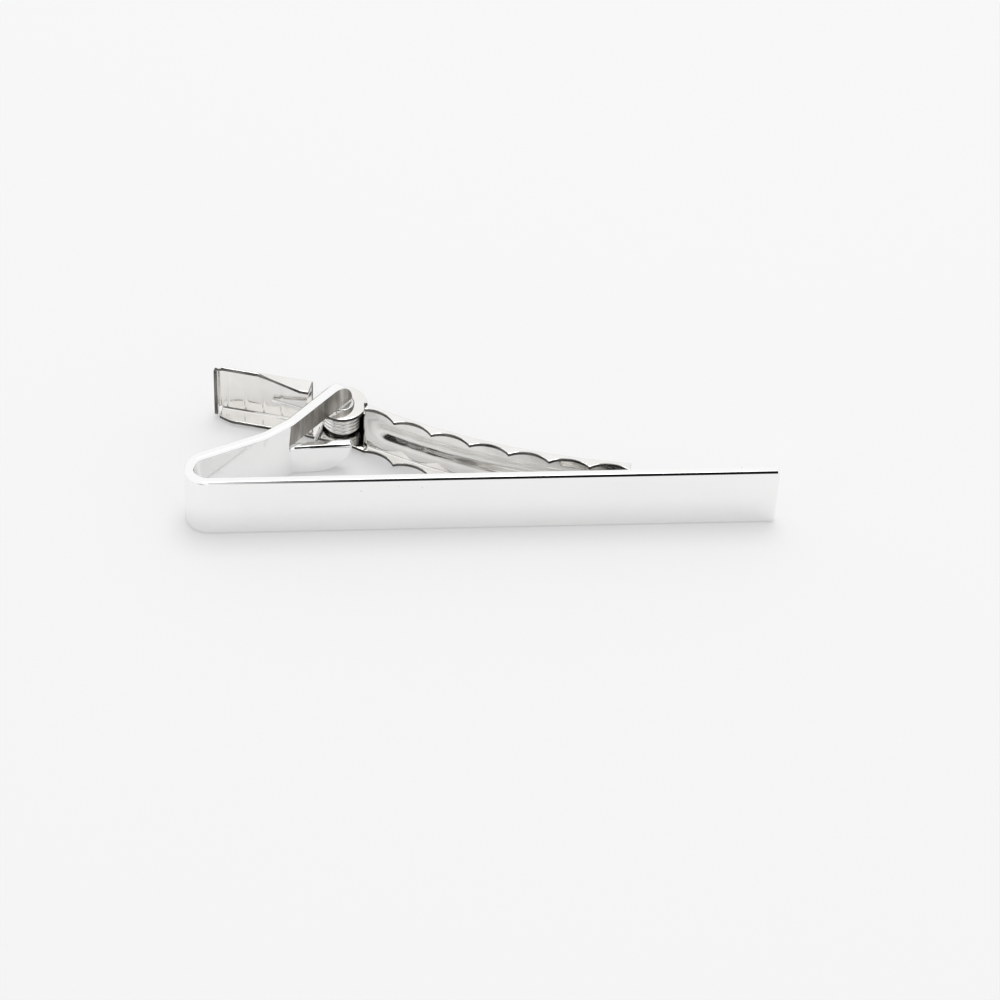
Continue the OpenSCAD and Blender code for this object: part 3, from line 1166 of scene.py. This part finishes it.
@dataclass
class Studio:
    """The floor, the soft light and the dark cards round the table."""

    floor_colour: tuple[float, float, float] = (0.53, 0.53, 0.53)
    floor_glow: float = 0.26
    patches: tuple[DarkPatch, ...] = (
        DarkPatch(azimuth=15.0, elevation=46.0, inner=8.8, outer=12.0, level=0.01),
        DarkPatch(azimuth=-32.0, elevation=14.0, inner=12.0, outer=22.0, level=0.03),
    )

    def build(self) -> None:
        """Lays the floor and lights it."""
        self._floor()
        self._world()
        self._soft_box("back_soft_box", azimuth=165.0, elevation=76.0, distance=0.6, size=0.3, power=1.2)

    def _floor(self) -> None:
        """Lays a pale, matt floor under the bar."""
        mesh = bmesh.new()
        bmesh.ops.create_grid(mesh, x_segments=8, y_segments=8, size=3.0)
        data = bpy.data.meshes.new("floor")
        mesh.to_mesh(data)
        mesh.free()
        finish = bpy.data.materials.new("pale_paper")
        finish.use_nodes = True
        shader = finish.node_tree.nodes["Principled BSDF"]
        shader.inputs["Base Color"].default_value = (*self.floor_colour, 1.0)
        shader.inputs["Roughness"].default_value = 1.0
        shader.inputs["Specular IOR Level"].default_value = 0.0
        shader.inputs["Emission Color"].default_value = (1.0, 1.0, 1.0, 1.0)
        shader.inputs["Emission Strength"].default_value = self.floor_glow
        data.materials.append(finish)
        floor = bpy.data.objects.new("floor", data)
        bpy.context.scene.collection.objects.link(floor)

    def _world(self) -> None:
        """Makes an even white surround with the dark cards in it."""
        world = bpy.data.worlds.new("white_room")
        bpy.context.scene.world = world
        world.use_nodes = True
        tree = world.node_tree
        light = tree.nodes["Background"]
        light.inputs["Color"].default_value = (1.0, 1.0, 1.0, 1.0)
        toward = tree.nodes.new("ShaderNodeTexCoord").outputs["Generated"]
        level = None
        for patch in self.patches:
            value = self._patch(tree, toward, patch)
            level = value if level is None else math_node(tree, "MULTIPLY", level, value)
        tree.links.new(level, light.inputs["Strength"])

    @staticmethod
    def _patch(tree: Tree, toward: Socket, patch: DarkPatch) -> Socket:
        """Returns the surround's level round one dark card."""
        azimuth, elevation = math.radians(patch.azimuth), math.radians(patch.elevation)
        level = math.cos(elevation)
        facing = (math.sin(azimuth) * level, -math.cos(azimuth) * level, math.sin(elevation))
        dot = tree.nodes.new("ShaderNodeVectorMath")
        dot.operation = "DOT_PRODUCT"
        dot.inputs[1].default_value = facing
        tree.links.new(toward, dot.inputs[0])
        inner, outer = math.cos(math.radians(patch.inner)), math.cos(math.radians(patch.outer))
        return ranged(tree, dot.outputs["Value"], outer, inner, 1.0, patch.level)

    @staticmethod
    def _soft_box(
        name: str, azimuth: float, elevation: float, distance: float, size: float, power: float
    ) -> None:
        """Hangs a square soft box that faces the bar.

        Args:
            name: The light's name.
            azimuth: Its direction round the bar, 0 in front and 90 to the right.
            elevation: Its height above the horizon in degrees.
            distance: How far away it hangs, in metres.
            size: Its side, in metres.
            power: Its power in watts.
        """
        data = bpy.data.lights.new(name, "AREA")
        data.shape = "SQUARE"
        data.size = size
        data.energy = power
        lamp = bpy.data.objects.new(name, data)
        bpy.context.scene.collection.objects.link(lamp)
        a, e = math.radians(azimuth), math.radians(elevation)
        away = Vector((math.sin(a) * math.cos(e), -math.cos(a) * math.cos(e), math.sin(e)))
        lamp.location = away * distance
        lamp.rotation_mode = "QUATERNION"
        lamp.rotation_quaternion = away.to_track_quat("Z", "Y")


@dataclass
class Camera:
    """A long lens that looks down on the bar from in front, a little from its left."""

    layout: Layout
    azimuth: float = -6.0
    elevation: float = 44.0
    roll: float = 3.0
    lens: float = 120.0
    view_width: float = 91.5
    aim_right: float = 1.65
    aim_up: float = 2.6

    def build(self) -> None:
        """Sets up the camera."""
        data = bpy.data.cameras.new("view")
        data.lens = self.lens
        data.sensor_width = 36.0
        data.clip_start, data.clip_end = 0.01, 10.0
        camera = bpy.data.objects.new("view", data)
        bpy.context.scene.collection.objects.link(camera)
        bpy.context.scene.camera = camera
        a, e = math.radians(self.azimuth), math.radians(self.elevation)
        back = Vector((math.sin(a) * math.cos(e), -math.cos(a) * math.cos(e), math.sin(e)))
        roll = Matrix.Rotation(math.radians(self.roll), 4, "Z").to_quaternion()
        turn = back.to_track_quat("Z", "Y") @ roll
        camera.rotation_mode = "QUATERNION"
        camera.rotation_quaternion = turn
        right, up = turn @ Vector((1.0, 0.0, 0.0)), turn @ Vector((0.0, 1.0, 0.0))
        distance = self.view_width * self.lens / data.sensor_width
        aim = Vector((0.0, self.layout.front, 0.0)) + right * self.aim_right + up * self.aim_up
        camera.location = (aim + back * distance) * MM


def main() -> None:
    """Builds the tie bar round its frame and lights it."""
    logging.basicConfig(level=logging.INFO, format="%(name)s: %(message)s")
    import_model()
    bpy.context.scene.view_settings.view_transform = "Standard"
    layout = Layout.from_frame()
    Camera(layout).build()
    Studio().build()
    shop = GroupShop()
    makers: tuple[tuple[Callable, tuple[MetalFinish, ...]], ...] = (
        (Bar(layout).build, (POLISHED_PLATE, SHADED_PRONG_PLATE)),
        (HingeStud(layout).build, (STUD_STEEL,)),
        (TorsionSpring(layout).build, (SPRING_WIRE,)),
        (ClaspJaw(layout).build, (JAW_SHEET, SHEARED_EDGE)),
    )
    for build, finishes in makers:
        made = build(*(finish.material(shop) for finish in finishes))
        LOG.info("%s: %d vertices before modifiers", made.name, len(made.data.vertices))


if __name__ == "__main__":
    main()
